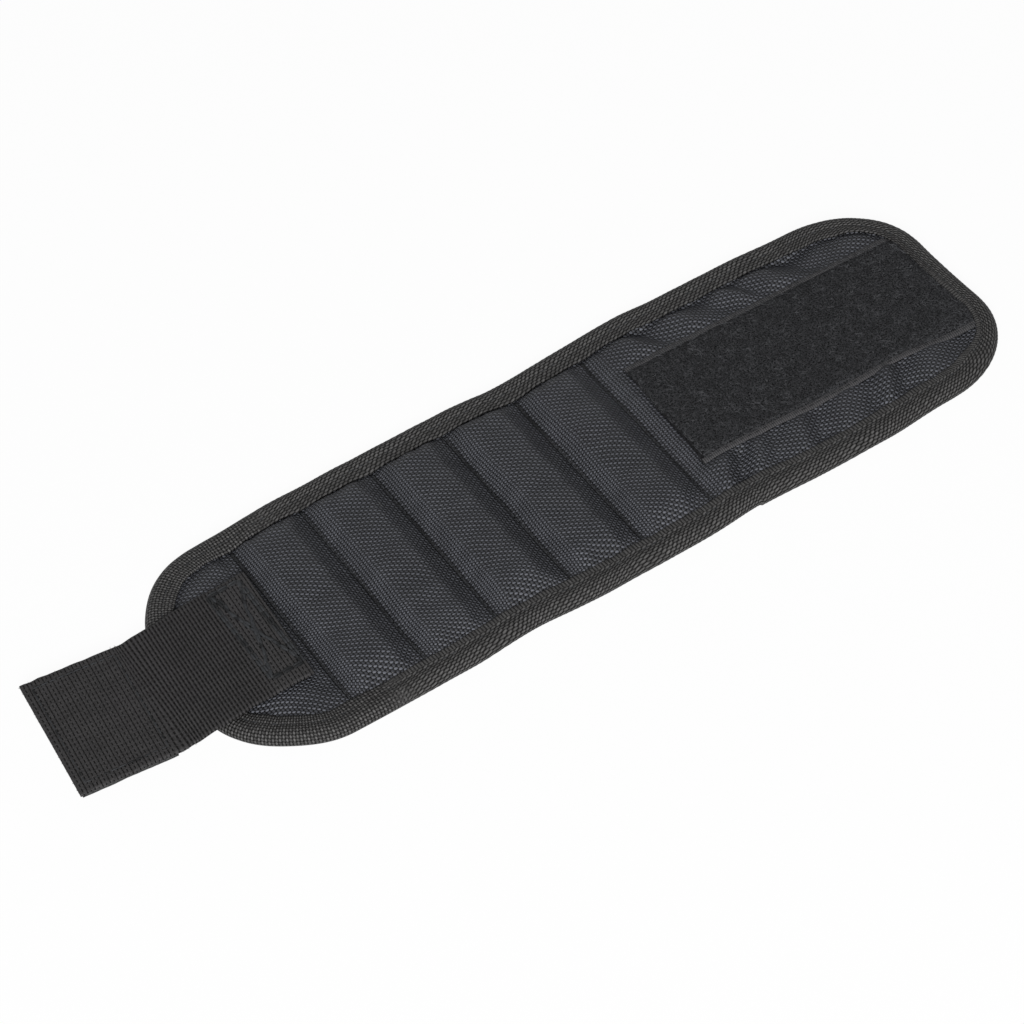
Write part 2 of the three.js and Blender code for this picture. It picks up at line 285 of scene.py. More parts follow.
def slim(s):
    """How much narrower the binding's upper face is round the plain end."""
    return SLIM * smooth((s - SLIM_START) / SLIM_EASE) * smooth((SLIM_STOP - s) / SLIM_EASE)


def seam_distance(x):
    return np.abs(np.asarray(x)[..., None] - np.array(SEAMS)).min(-1)


def knots(x, table, ease=1.0):
    """A line through pairs of place and height, from straight runs at ease 0 to smooth ones at 1."""
    places, heights = np.array(table, float).T
    i = np.clip(np.searchsorted(places, x) - 1, 0, len(places) - 2)
    share = np.clip((x - places[i]) / (places[i + 1] - places[i]), 0, 1)
    return heights[i] + (heights[i + 1] - heights[i]) * (share + ease * (smooth(share) - share))


# Puckers of the plain fabric above and below the loop patch
UPPER_PUCKERS = (
    (165, 0), (172, 0.2), (182.7, 0.7), (190, -0.45), (201, 0.6), (212, -0.1), (219.5, 0.62),
    (224.5, -0.05), (229.5, 0.6), (234, 0.6), (244, -0.5), (262, 0.4), (272, 0),
)
LOWER_PUCKERS = (
    (165, 0), (176, 0.5), (181, -0.6), (187, 0.6), (193, -0.2), (203, 0.5), (209, -0.5),
    (219, 0.5), (229, -0.2), (235, 0.9), (241, -0.4), (252, 0.4), (264, -0.1), (272, 0),
)


def pad_form(x, y):
    """Height of the face fabric as it is cut and sewn, before it settles."""
    x, y = np.broadcast_arrays(np.asarray(x, float), np.asarray(y, float))
    z = np.zeros(x.shape)
    starts, stops = (-1e3, *SEAMS), (*SEAMS, 1e3)
    for i, (start, stop) in enumerate(zip(starts, stops)):
        inside = (x >= start) & (x <= stop)
        px, py = x[inside], y[inside]
        if i == 0:
            crown, rise, fall, dome = 5.75, 5.0, 7.0, 0.0
        elif i == len(SEAMS):
            crown, rise, fall, dome = 5.9 - 1.3 * smooth((px - 244) / 26), 4.2, 6.0, 0.0
        else:
            crown, rise, fall, dome = 8.05 + 0.12 * math.sin(2.4 * i), 5.0, 7.2, 0.3
        climb, drop = np.clip((px - start - 0.4) / rise, 0, None), np.clip((stop - px) / fall, 0, None)
        up = smooth_min(1.13 * climb**2 / (climb + 0.13), 1.0, 0.22)
        down = smooth_min(1.35 * drop**2 / (drop + 0.35), 1.0, 0.26)
        share = smooth_min(up, down, 0.08)
        across = np.clip((px - start) / (stop - start), 0, 1)
        swelled = VALLEY + (crown - VALLEY) * share
        swelled += dome * np.sin(math.pi * across) * np.cos(py / 30 * 1.1)
        if 0 < i < len(SEAMS):
            swelled += 0.05 * bump((px - start - 5.3) / 0.6)
        z[inside] = swelled
    edge = edge_distance(x, y) + slim(nearest(x, y)[0])
    away = smooth((y + 20) / 40)
    t = np.clip((edge - 8.8) / (11.5 - 5.0 * away), 0, 1)
    rise = 1 - (1 - t) ** (2.0 - 0.3 * away)
    z = EDGE_TOP + (z - EDGE_TOP) * rise - 0.6 * away * bump((edge - 9.6) / 0.9)
    z -= 0.4 * bump(seam_distance(x) / 0.6) * rise
    beside = smooth((x - 168) / 6) * smooth((274 - x) / 8)
    strip = smooth((np.abs(y) - 24.2) / 4) * smooth((edge - 8) / 3.5)
    slant = x + np.where(y > 0, 0.5 * (y - 31), -0.45 * (y + 31))
    pucker = np.where(y > 0, knots(slant, UPPER_PUCKERS, 0.35), knots(slant, LOWER_PUCKERS, 0.35))
    z += 3.0 * pucker * strip * beside - np.where(y > 0, 0.09, 0.03) * (np.abs(y) - 25) * strip * beside
    z += 0.09 * ripple(x, y, 11, 5) * smooth((edge - 9) / 6)
    gather = smooth((edge - 8.6) / 2) * smooth((19 - edge) / 7)
    z += 0.16 * ripple(x, 0.25 * y, 6.5, 8) * gather * (x < 166)
    return z


def settle():
    """A cloth simulation of the face fabric: a little slack, pressed up by the foam, and held at its seams,
    edge and loop patch. Gives how far each point of its grid settles, in millimetres."""
    x = np.repeat(GRID_X[:, None], len(GRID_Y), 1)
    y = GRID_Y * half_width(x, GRID_INSET)
    rest = np.stack([x, y, pad_form(x, y)], -1)
    index = np.arange(x.size).reshape(x.shape)
    quads = quads_of(index)
    mesh = bpy.data.meshes.new("settling")
    mesh.from_pydata((rest / 100).reshape(-1, 3), [], quads.tolist())
    obj, scene = added("settling", mesh), bpy.context.scene
    held = (seam_distance(x) < 1) | (np.abs(GRID_Y) > 0.99) | (x < GRID_X[1]) | (x > GRID_X[-2])
    held |= (x > 173) & (np.abs(y) < 25)
    obj.vertex_groups.new(name="held").add(index[held].tolist(), 1.0, "REPLACE")
    cloth = obj.modifiers.new("settling", "CLOTH")
    cloth.collision_settings.use_collision = False
    values = cloth.settings
    values.quality, values.mass, values.air_damping = 6, 0.3, 3.0
    values.tension_stiffness = values.compression_stiffness = 15
    values.shear_stiffness, values.bending_stiffness = 5, 2.0
    values.vertex_group_mass, values.shrink_min = "held", -0.015
    values.use_pressure, values.uniform_pressure_force = True, 4.0
    values.effector_weights.gravity = 0
    for number in range(1, 21):
        scene.frame_set(number)
    moved = np.zeros(x.size * 3)
    obj.evaluated_get(bpy.context.evaluated_depsgraph_get()).data.vertices.foreach_get("co", moved)
    bpy.data.objects.remove(obj)
    bpy.data.meshes.remove(mesh)
    scene.frame_set(1)
    return np.clip(100 * moved.reshape(rest.shape)[..., 2] - rest[..., 2], -0.9, 0.9)


GRID_X, GRID_Y = 38 + 25.5 / 9 * np.arange(-10, 83), np.linspace(-1, 1, 33)
SETTLED = settle()


def settled(x, y):
    """The simulated settling at any place, through smooth splines over the grid."""
    across = (np.clip(y / half_width(x, GRID_INSET), -1, 1) + 1) / 2 * (len(GRID_Y) - 1)
    along = np.clip((x - GRID_X[0]) / (GRID_X[1] - GRID_X[0]), 0, len(GRID_X) - 1)
    total = np.zeros(np.shape(along))
    taps = []
    for place, count in ((along, len(GRID_X)), (across, len(GRID_Y))):
        low = np.floor(place).astype(int)
        f = place - low
        shares = ((1 - f) ** 3, 3 * f**3 - 6 * f**2 + 4, 3 * (f + f**2 - f**3) + 1, f**3)
        taps.append([(np.clip(low + k - 1, 0, count - 1), share / 6) for k, share in enumerate(shares)])
    for i, a in taps[0]:
        for j, b in taps[1]:
            total += SETTLED[i, j] * a * b
    return total


def pad_top(x, y):
    """Height of the face fabric."""
    x, y = np.broadcast_arrays(np.asarray(x, float), np.asarray(y, float))
    return pad_form(x, y) + (0.35 - 0.15 * smooth((x - 163) / 6)) * settled(x, y)


def crease_wear(x, y):
    """How light the warp shows, as painted highlight: on the slopes that face the strap, where the lamp
    lights them, and most along the ridge of a crease.
    """
    total = 0.4 * bump((x - 94.2) / 0.5)
    for start in SEAMS:
        total = total + 0.85 * smooth((x - start - 0.8) / 1.5) * smooth((start + 7.0 - x) / 3.0)
    return np.minimum(total, 1) * smooth((edge_distance(x, y) - 9) / 3)


def pad_bottom(x, y):
    """Height of the lining's underside."""
    rise = smooth((edge_distance(x, y) - 9.3) / 8)
    dent = 0.45 * bump(seam_distance(x) / 1.3) * rise
    return EDGE_BOTTOM * (1 - rise) + dent + 0.05 * (1 + ripple(x, y, 14, 11) / 2) * rise


def spaced(start, stop, spacing):
    """Places from start to stop whose spacing follows a function."""
    fine = np.linspace(start, stop, 2001)
    pace = running(np.diff(fine) / spacing((fine[1:] + fine[:-1]) / 2))
    return np.interp(np.linspace(0, pace[-1], max(int(round(pace[-1])), 2) + 1), pace, fine)


def pad_columns(start, stop):
    def spacing(x):
        near = np.interp(seam_distance(x), (0, 1.5, 7, 10), (0.3, 0.45, 0.55, 1.1))
        return np.minimum(near, np.interp(np.minimum(x, LENGTH - x), (3, 10, 34), (0.3, 0.9, 1.1)))
    return spaced(max(start, PAD_INSET), min(stop, LENGTH - PAD_INSET), spacing)


def pad_rows():
    inset = spaced(PAD_INSET, HALF, lambda e: np.interp(e, (3, 8, 9, 18, 24), (2, 1, 0.6, 0.8, 1.3)))
    share = (HALF - inset) / (HALF - PAD_INSET)
    return np.concatenate([-share, share[-2::-1]])


fine_x = np.linspace(0, LENGTH, 5601)
fine_u = running(np.hypot(np.diff(fine_x), np.diff(pad_top(fine_x, 0 * fine_x))))


def cloth_map(x, y):
    """Place on the flat cloth, whose threads run a little askew."""
    along = np.interp(x, fine_x, fine_u) + 0.3 * ripple(x, y, 40, 71)
    return np.stack([along, y - 0.12 * x + 0.45 * ripple(x, y, 42, 72)], -1)


# Materials

def connect(tree, socket, value):
    """Feed a socket from another node's output, or set its value."""
    if isinstance(value, bpy.types.NodeSocket):
        tree.links.new(value, socket)
    else:
        socket.default_value = value


def math_node(tree, operation, *values):
    node = tree.nodes.new("ShaderNodeMath")
    node.operation = operation
    for socket, value in zip(node.inputs, values):
        connect(tree, socket, value)
    return node.outputs[0]


def new_material(name, **values):
    """A material, its nodes and its shader, with some of the shader's values set."""
    material = bpy.data.materials.new(name)
    material.use_nodes = True
    shader = material.node_tree.nodes["Principled BSDF"]
    for key, value in values.items():
        shader.inputs[key.replace("_", " ")].default_value = value
    return material, material.node_tree, shader


class Look:
    """A material's nodes, with short calls for the ones a pattern needs."""

    def __init__(self, name, **values):
        self.material, self.tree, self.shader = new_material(name, **values)
        place = self.tree.nodes.new("ShaderNodeUVMap")
        place.uv_map = "weave"
        self.place = place.outputs[0]
        split = self.tree.nodes.new("ShaderNodeSeparateXYZ")
        self.feed(split.inputs[0], self.place)
        self.u, self.v = split.outputs[0], split.outputs[1]

    def feed(self, socket, value):
        connect(self.tree, socket, value)

    def math(self, operation, *values):
        return math_node(self.tree, operation, *values)

    def add(self, *values):
        return reduce(lambda a, b: self.math("ADD", a, b), values)

    def times(self, *values):
        return reduce(lambda a, b: self.math("MULTIPLY", a, b), values)

    def between(self, low, high, share):
        return self.add(low, self.times(share, self.math("SUBTRACT", high, low)))

    def cells(self, length, width):
        return self.times(self.u, 1 / length), self.times(self.v, 1 / width)

    def ribs(self, value, pitch=1.0):
        return self.math("ABSOLUTE", self.math("SINE", self.times(value, math.pi / pitch)))

    def span(self, value, low, high, to_low=0.0, to_high=1.0):
        node = self.tree.nodes.new("ShaderNodeMapRange")
        node.interpolation_type = "SMOOTHSTEP"
        for socket, item in zip(node.inputs, (value, low, high, to_low, to_high)):
            self.feed(socket, item)
        return node.outputs[0]

    def noise(self, scale, detail=2.0, stretch=(1.0, 1.0)):
        node = self.tree.nodes.new("ShaderNodeTexNoise")
        node.noise_dimensions = "2D"
        mapping = self.tree.nodes.new("ShaderNodeMapping")
        mapping.inputs["Scale"].default_value = (*stretch, 1.0)
        self.feed(mapping.inputs["Vector"], self.place)
        self.feed(node.inputs["Vector"], mapping.outputs[0])
        node.inputs["Scale"].default_value = scale
        node.inputs["Detail"].default_value = detail
        return node.outputs["Fac"]

    def attribute(self, name):
        node = self.tree.nodes.new("ShaderNodeAttribute")
        node.attribute_name = name
        return node.outputs["Fac"]

    def mix(self, share, low, high):
        node = self.tree.nodes.new("ShaderNodeMix")
        node.data_type = "RGBA"
        for socket, value in zip((node.inputs[0], node.inputs[6], node.inputs[7]), (share, low, high)):
            self.feed(socket, value)
        return node.outputs[2]

    def weave(self, u, v, depth, slant=0.0, lean=0.0):
        """Plain weave, one thread per unit: its height from 0 to 1, and 1 where the warp is on top."""
        cu, cv = self.math("FLOOR", u), self.math("FLOOR", v)
        fu, fv = (self.math("SUBTRACT", self.math("FRACT", t), 0.5) for t in (u, v))
        a = self.math("COSINE", self.times(self.math("MULTIPLY_ADD", fv, -lean, fu), math.pi))
        b = self.math("COSINE", self.times(self.math("MULTIPLY_ADD", fu, -slant, fv), math.pi))
        parity = self.math("FLOORED_MODULO", self.math("ADD", cu, cv), 2.0)
        sign = self.math("MULTIPLY_ADD", parity, -2.0 * depth, depth)
        warp = self.math("MULTIPLY_ADD", sign, b, a)
        weft = self.math("SUBTRACT", b, self.math("MULTIPLY", sign, a))
        high = self.math("MAXIMUM", warp, weft)
        return self.math("DIVIDE", high, 1 + depth), self.math("GREATER_THAN", warp, weft)

    def finish(self, colour, height, depth, rough=None):
        """Colour and relief. Rough is a noise's scale and the two roughnesses that it runs between."""
        self.feed(self.shader.inputs["Base Color"], colour)
        if rough is not None:
            scale, low, high = rough
            self.feed(self.shader.inputs["Roughness"], self.span(self.noise(scale), 0.2, 0.8, low, high))
        node = self.tree.nodes.new("ShaderNodeBump")
        node.inputs["Strength"].default_value = 1.0
        node.inputs["Distance"].default_value = depth / 1000
        self.feed(node.inputs["Height"], height)
        self.feed(self.shader.inputs["Normal"], node.outputs[0])
        return self.material


def grey(level, tint=(1.0, 1.0, 1.0)):
    """A linear colour from an sRGB level of 0 to 255."""
    linear = (level / 255 / 12.92) if level < 10.3 else ((level / 255 + 0.055) / 1.055) ** 2.4
    return (*(linear * t for t in tint), 1.0)


def face_look():
    look = Look("face_fabric", Specular_IOR_Level=0.12)
    dark, light = (1.02, 0.96, 1.02), (0.93, 0.965, 1.1)
    u, v = look.cells(1.16, 0.967)
    height, warp = look.weave(u, v, 0.6, -0.45)
    uneven = look.span(look.noise(0.12, 3.0), 0.3, 0.75, 0.85, 1.08)
    lit = look.times(look.span(height, 0.4, 0.95), uneven)
    weft = look.mix(lit, grey(2, dark), grey(102, light))
    over = look.mix(lit, grey(2, dark), grey(63, light))
    crossed = look.weave(u, v, 0.6, -0.6, 0.6)[0]
    highlit_weave = look.mix(look.times(look.span(crossed, 0.45, 0.92), uneven), grey(2, dark), grey(96, light))
    # Painted highlight: the warp made as light as the weft on the slopes that face the lamp, and along the
    # ridge of a crease.
    colour = look.mix(look.attribute("wear"), look.mix(warp, weft, over), highlit_weave)
    # Painted shade along each seam's valley, together with the dark of the sewn line: the face fabric goes
    # nearly black there.
    colour = look.mix(look.attribute("sewn"), colour, grey(8, dark))
    return look.finish(colour, height, 0.3, (0.6, 0.34, 0.45))


def lining_look():
    look = Look("lining_fabric", Specular_IOR_Level=0.1)
    height = look.weave(*look.cells(1.3, 1.1), 0.8)[0]
    lit = look.times(look.span(height, 0.2, 0.9), look.span(look.noise(0.09, 3.0), 0.3, 0.7, 0.8, 1.1))
    return look.finish(look.mix(lit, grey(9), grey(58)), height, 0.22, (0.7, 0.75, 0.9))


def binding_look():
    """Twill tape: slanting rows of small blocks, with plain blocks at the strap's end. Its sewn inner edge
    is darker, and has cross ribs like teeth on the lower side."""
    look = Look("binding_tape", Specular_IOR_Level=0.1)
    rib, ridge = look.attribute("rib"), look.attribute("teeth")
    ribs, cross = look.ribs(rib), look.ribs(look.u, 1.08)
    rows, above = look.weave(rib, look.times(look.v, 1 / 0.98), 0.6, 0.25)
    twill = look.times(look.span(rows, 0.35, 0.95), look.span(above, 0.0, 1.0, 0.78, 1.0))
    twill = look.times(twill, look.span(ribs, 0.0, 0.5, 0.75, 1.0))
    fine = look.weave(*look.cells(0.8, 0.75), 0.5)[0]
    teeth = look.times(look.span(cross, 0.2, 0.9, 0.12, 0.85), look.span(fine, 0.2, 0.9, 0.7, 1.0))
    flat = look.between(look.times(twill, 0.72), teeth, ridge)
    height = look.between(flat, twill, look.span(look.v, 2.2, 3.4))
    blocks, above = look.weave(*look.cells(1.13, 1.02), 0.6, 0.25)
    blocks = look.times(look.span(blocks, 0.35, 0.95), look.span(above, 0.0, 1.0, 0.55, 1.0))
    height = look.between(height, blocks, look.attribute("plain"))
    uneven = look.span(look.noise(0.5, 3.0), 0.3, 0.72, 0.75, 1.15)
    # Painted light: the upper binding made lighter and the lower one a little darker, to even out how the
    # lamp lights the two sides.
    uneven = look.times(uneven, look.span(ridge, 0.0, 1.0, 1.12, 0.97))
    colour = look.mix(look.times(height, uneven), grey(4, (1.15, 0.96, 0.92)), grey(92, (1.02, 1.0, 0.99)))
    return look.finish(colour, height, 0.28, (0.8, 0.5, 0.65))


def webbing_look():
    """Ribbed webbing, whose gaps between ribs are broken by crossing threads, most in its flat sewn ends."""
    look = Look("webbing", Specular_IOR_Level=0.09)
    u = look.times(look.u, 1 / RIB)
    ribs = look.ribs(u)
    odd = look.math("FLOORED_MODULO", look.math("FLOOR", look.add(u, 0.5)), 2.0)
    wave = look.math("COSINE", look.times(look.v, 2 * math.pi / 1.88))
    ridge = look.times(look.span(ribs, 0.32, 0.85, 1.0, 0.0), look.span(wave, -0.9, 0.4, 0.66, 1.0))
    broken = look.span(look.add(wave, look.times(odd, 0.6)), -0.75, 0.1)
    holes = look.times(look.span(ribs, 0.2, 0.55, 1.0, 0.0), broken)
    tip, boxed = look.span(look.u, -11.5, -8.0, 1.0, 0.0), look.span(look.u, 20.0, 23.5, 0.0, 0.85)
    lit = look.math("SUBTRACT", 1.0, look.between(ridge, holes, look.math("MAXIMUM", tip, boxed)))
    grain = look.span(look.noise(1.5, 2.0), 0.3, 0.7, 0.62, 1.2)
    shade = look.times(lit, grain, look.span(look.noise(0.15, 3.0, (0.6, 1.6)), 0.3, 0.75, 0.88, 1.1))
    shade = look.times(shade, look.span(look.u, -11.5, -8.0, 0.88, 1.0))
    colour = look.mix(shade, grey(2, (1.2, 0.93, 0.9)), grey(60, (1.02, 0.985, 1.0)))
    return look.finish(colour, lit, 0.25, (0.5, 0.5, 0.65))


def selvedge_look():
    look = Look("loop_selvedge", Specular_IOR_Level=0.12)
    ribs, tint = look.ribs(look.u, 0.7), (1.0, 0.98, 1.02)
    lit = look.times(look.span(ribs, 0.1, 0.9), look.span(look.noise(0.5), 0.3, 0.7, 0.75, 1.0))
    return look.finish(look.mix(lit, grey(44, tint), grey(82, tint)), ribs, 0.12, (0.5, 0.6, 0.75))


def pile_look(name, low, high):
    look = Look(name, Roughness=0.95, Specular_IOR_Level=0.08)
    tint = (0.97, 0.985, 1.05)
    clump = look.span(look.noise(0.28, 3.0), 0.3, 0.7, 0.88, 1.08)
    curls = [look.math("ABSOLUTE", look.math("SUBTRACT", look.noise(scale, 1.0, stretch), 0.5))
             for scale, stretch in ((0.55, (1.0, 1.4)), (0.75, (1.5, 1.0)), (1.1, (1.0, 1.0)))]
    fuzz = look.span(look.noise(1.9, 3.0), 0.36, 0.66, 0.0, 0.62)
    for curl, width, strength in zip(curls, (0.035, 0.04, 0.06), (1.0, 0.9, 0.8)):
        fuzz = look.math("MAXIMUM", fuzz, look.span(curl, 0.0, width, strength, 0.0))
    # Painted shade from the dark mark, at the patch's cut end and sides.
    fuzz = look.times(fuzz, look.math("SUBTRACT", 1.0, look.attribute("dark")))
    # Painted light: the pile made lighter towards the plain end, where the band's top falls away from the
    # lamp.
    fuzz = look.times(fuzz, look.span(look.u, 230.0, 265.0, 1.0, 1.22))
    colour = look.mix(look.times(fuzz, clump), grey(low, tint), grey(high, tint))
    return look.finish(colour, fuzz, 0.3)


def thread_look(name, low, high):
    look = Look(name, Specular_IOR_Level=0.15)
    tint = (0.95, 1.0, 1.08)
    twist = look.math("ABSOLUTE", look.math("SINE", look.times(look.add(look.u, look.v), 7.0)))
    colour = look.mix(look.span(twist, 0.1, 0.9), grey(low, tint), grey(high, tint))
    return look.finish(colour, twist, 0.05, (0.4, 0.55, 0.7))


def hook_look():
    look = Look("hook_plastic", Specular_IOR_Level=0.3)
    speck = look.noise(1.6, 2.0)
    colour = look.mix(look.span(speck, 0.3, 0.7), grey(20), grey(36))
    return look.finish(colour, speck, 0.05, (0.7, 0.35, 0.5))


def magnet_look():
    material, tree, shader = new_material("magnet_steel", Metallic=0.7)
    place = tree.nodes.new("ShaderNodeTexCoord")
    speck = tree.nodes.new("ShaderNodeTexNoise")
    speck.inputs["Scale"].default_value = 900
    tree.links.new(place.outputs["Object"], speck.inputs["Vector"])
    rough, rougher = (0.35, 0.35, 0.35, 1), (0.6, 0.6, 0.6, 1)
    for socket, low, high in (("Base Color", grey(66), grey(104)), ("Roughness", rough, rougher)):
        ramp = tree.nodes.new("ShaderNodeValToRGB")
        ramp.color_ramp.elements[0].color, ramp.color_ramp.elements[1].color = low, high
        tree.links.new(speck.outputs["Fac"], ramp.inputs[0])
        tree.links.new(ramp.outputs[0], shader.inputs[socket])
    return material


FACE, LINING, BINDING = face_look(), lining_look(), binding_look()
STRAP, SELVEDGE = webbing_look(), selvedge_look()
# The pile and its loose fibres share one look: the fibres on top are painted lighter, as painted light, and
# the pile beneath them darker, as painted shade.
PILE, FIBRE = pile_look("loop_pile", 14, 80), pile_look("loop_fibre", 60, 100)
FRAY, THREAD = thread_look("frayed_thread", 30, 66), thread_look("sewing_thread", 22, 48)
HOOK, MAGNET = hook_look(), magnet_look()


def bend(obj, part):
    """Bakes the piece's placing into its points. The places at the hinge's reach to either side are worked
    out but not used.
    """
    before, after, hinge, reach = part[3:7]
    row((hinge - reach, 0, 0))
    row((hinge + reach, 0, 0))
    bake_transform(obj)


# Pads and linings
for part in PARTS:
    letter, start, stop, panels = *part[:3], part.panels
    columns, rows = pad_columns(start, stop), pad_rows()
    x = np.repeat(columns[:, None], len(rows), 1)
    y = rows[None, :] * half_width(x, PAD_INSET)
    top, under = pad_top(x, y), pad_bottom(x, y)
    maps = cloth_map(x, y)
    # Painted highlight on the slopes that face the lamp and along the ridge of a crease.
    wear, sewn = crease_wear(x, y), 0.85 * bump(seam_distance(x) / 0.7)
    cloth = pulled(slab(stacked(x, y, top), stacked(x, y, under + 0.85), maps))
    # The sewn mark is painted shade along each seam's valley as well as the dark sewn line.
    pad = piece(f"pad_{letter}", *cloth, [FACE], crease=65,
                wear=np.tile(wear.ravel(), 2), sewn=np.tile(sewn.ravel(), 2))
    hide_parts(*(f"{p}_{layer}" for p in panels for layer in ("face", "foam")))
    bend(pad, part)
    cloth = pulled(slab(stacked(x, y, under + 0.75), stacked(x, y, under), maps))
    lining = piece(f"lining_{letter}", *cloth, [LINING], crease=65)
    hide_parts(*(f"{p}_lining" for p in panels))
    bend(lining, part)


# Binding folded over the edge

def outline(s):
    """Places and inward directions at lengths along the outline."""
    s = (np.asarray(s, float) + ROUND / 2) % ROUND - ROUND / 2
    far, s = s < 0, np.abs(s)
    legs = np.cumsum([TOP_SIDE, QUARTER, 2 * (HALF - CORNER), QUARTER])
    turn = np.clip((s - legs[0]) / CORNER, 0, math.pi / 2) + np.clip((s - legs[2]) / CORNER, 0, math.pi / 2)
    outward = np.stack([-np.sin(turn), np.cos(turn)], -1)
    top, low = np.clip(s, 0, legs[0]), np.clip(s - legs[3], 0, None)
    end = np.clip(s - legs[1], 0, legs[2] - legs[1])
    centre = np.stack([LENGTH / 2 - top + low, HALF - CORNER - end], -1)
    place = centre + outward * CORNER
    mirror = np.where(far, -1.0, 1.0)
    place[:, 0] = np.where(far, LENGTH - place[:, 0], place[:, 0])
    outward[:, 0] *= mirror
    return place, -outward


def binding_runs(part):
    letter, start, stop = part[:3]
    if letter == "a":
        return [(upper_at(stop), lower_at(stop))]
    if letter == "h":
        return [(lower_at(start), ROUND + upper_at(start))]
    return [(upper_at(stop), upper_at(start)), (lower_at(start), lower_at(stop))]


# The folded tape cut across: distance in from the edge, and height, from the upper flange to the lower
SECTION = np.array([
    (9.05, 4.7), (9.12, 4.95), (8.9, 5.16), (8.3, 5.3), (7.3, 5.42), (6.5, 5.48), (6.05, 5.44),
    (GROOVE, 5.34), (5.3, 5.48), (4.85, 5.6), (4.2, 5.74), (3.3, 5.82), (2.4, 5.72), (1.5, 5.36),
    (0.8, 4.74), (0.25, 3.9), (0, 2.9), (0.25, 1.95), (0.8, 1.1), (1.5, 0.5), (2.4, 0.14), (3.3, 0.02),
    (4.6, 0.02), (5.3, 0.1), (GROOVE, 0.32), (6.0, 0.1), (6.8, 0.02), (8.5, 0.02), (9.0, 0.25), (9.05, 0.55),
])
INNER = SECTION.copy()
INNER[:, 1] = 2.9 + np.sign(SECTION[:, 1] - 2.9) * np.maximum(np.abs(SECTION[:, 1] - 2.9) - 0.75, 0.0)
INNER[:, 0] += 0.8 * np.clip(1 - SECTION[:, 0] / 3.3, 0, 1)
INNER[:, 1] = np.where(SECTION[:, 0] < 3.2, INNER[:, 1], np.where(SECTION[:, 1] > 2.9, 4.5, 1.18))
SECTION_LENGTH = running(np.hypot(*np.diff(SECTION, axis=0).T))
SECTION_NORMAL = np.gradient(SECTION, axis=0)[:, ::-1] * (1, -1)
SECTION_NORMAL /= np.linalg.norm(SECTION_NORMAL, axis=1, keepdims=True)


def binding_run(first, last):
    """The folded tape between two lengths along the outline, with the phase of its slanting ribs."""
    count = int(round((last - first) / 0.5))
    s = np.linspace(first, last, count + 1)
    place, inward = outline(s)
    upper = place[:, 1] > 0
    seam = seam_distance(place[:, 0]) + 1e3 * (np.abs(place[:, 1]) < HALF - 8)
    dip = np.where(upper, 0.6, 0.3) * bump(seam / 5) - 0.15
    dip += 0.12 * ripple(s, 0 * s, 13, 21) + 0.16 * np.abs(np.sin(math.pi * s / 1.02))
    past = s - lower_at(LAP)
    wave = 0.05 * ripple(s, 0 * s, 17, 22) + 0.65 * (past > 0) * smooth(1 - past / 16)
    lump = 0.1 * ripple(s, 0 * s, 9, 23)
    lean = 1.25 + 0.25 * np.sin(math.pi * 22 * s / ROUND) + 0.15 * np.sin(math.pi * 54 * s / ROUND + 1)
    rib = (s[:, None] + lean[:, None] * (SECTION_LENGTH - 2.7)) / (ROUND / 380)
    swell = 0.09 * smooth((place[:, :1] - 44) / 14) * (np.abs(np.sin(math.pi * rib)) - 0.6)
    swell = swell * smooth((SECTION_LENGTH - 2) / 1.5) * smooth((16.5 - SECTION_LENGTH) / 2)
    grids = []
    for section, rise in ((SECTION, swell), (INNER, 0 * swell)):
        e, z = section[:, 0], section[:, 1]
        flange = np.clip((e - GROOVE) / (9 - GROOVE), 0, 1) * (z > 2.9)
        roll = np.clip(1 - e / GROOVE, 0, 1)
        narrow = slim(s % ROUND)[:, None] * np.clip((e - 3.3) / 5.75, 0, 1) * (z > 2.9)
        depth = e - narrow + dip[:, None] * flange - wave[:, None] * roll + rise * SECTION_NORMAL[:, 0]
        height = z + lump[:, None] * (z > 2.9) * np.clip(e / 3, 0, 1) + rise * SECTION_NORMAL[:, 1]
        flat = place[:, None] + inward[:, None] * depth[..., None]
        grids.append(np.concatenate([flat, np.maximum(height, 0)[..., None]], -1))
    maps = np.stack(np.meshgrid(s, SECTION_LENGTH, indexing="ij"), -1)
    wide = np.ones(len(SECTION))
    plain, teeth = (np.outer(smooth(v), wide) for v in ((58 - place[:, 0]) / 14, (8 - place[:, 1]) / 20))
    return slab(grids[0], grids[1], maps), *(np.tile(mark.ravel(), 2) for mark in (rib, plain, teeth))


for part in PARTS:
    runs = [binding_run(*run) for run in binding_runs(part)]
    solid = joined(*(r[0] for r in runs))
    names = enumerate(("rib", "plain", "teeth"), 1)
    marks = {name: np.concatenate([r[k] for r in runs]) for k, name in names}
    binding = piece(f"binding_{part.letter}", *pulled(solid), [BINDING], crease=60, **marks)
    nodes = [n for p in part.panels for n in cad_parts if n.startswith(p) and n.endswith("binding")]
    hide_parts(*nodes)
    bend(binding, part)


# Loop patch
LOOP_START, LOOP_STOP, LOOP_INSET = 172.5, 273.0, 6.8
FIBRE_RATE = 49.5


def loop_frame(x, y):
    """Places on the patch, which lies a little askew, from lengths along and across it."""
    along = x + 1.2 * (y / 25) * smooth((190 - x) / 18)
    lower_wave, upper_wave = 0.3 * np.sin((x - 172) / 9.0) * bump((x - 205) / 28), 0.15 * np.sin(x / 6)
    wave = np.where(y < 0, lower_wave, upper_wave)
    shift = -1.6 * smooth((x - 172) / 98)
    return along, y + shift + wave * smooth((np.abs(y) - 15) / 10)


def inside_edge(x, y, end_gap, side_gap):
    """Distances across, kept inside the binding round the plain end."""
    limit = half_width(np.minimum(x, LENGTH - LOOP_INSET - end_gap), LOOP_INSET + side_gap)
    return np.clip(y, -limit, limit)


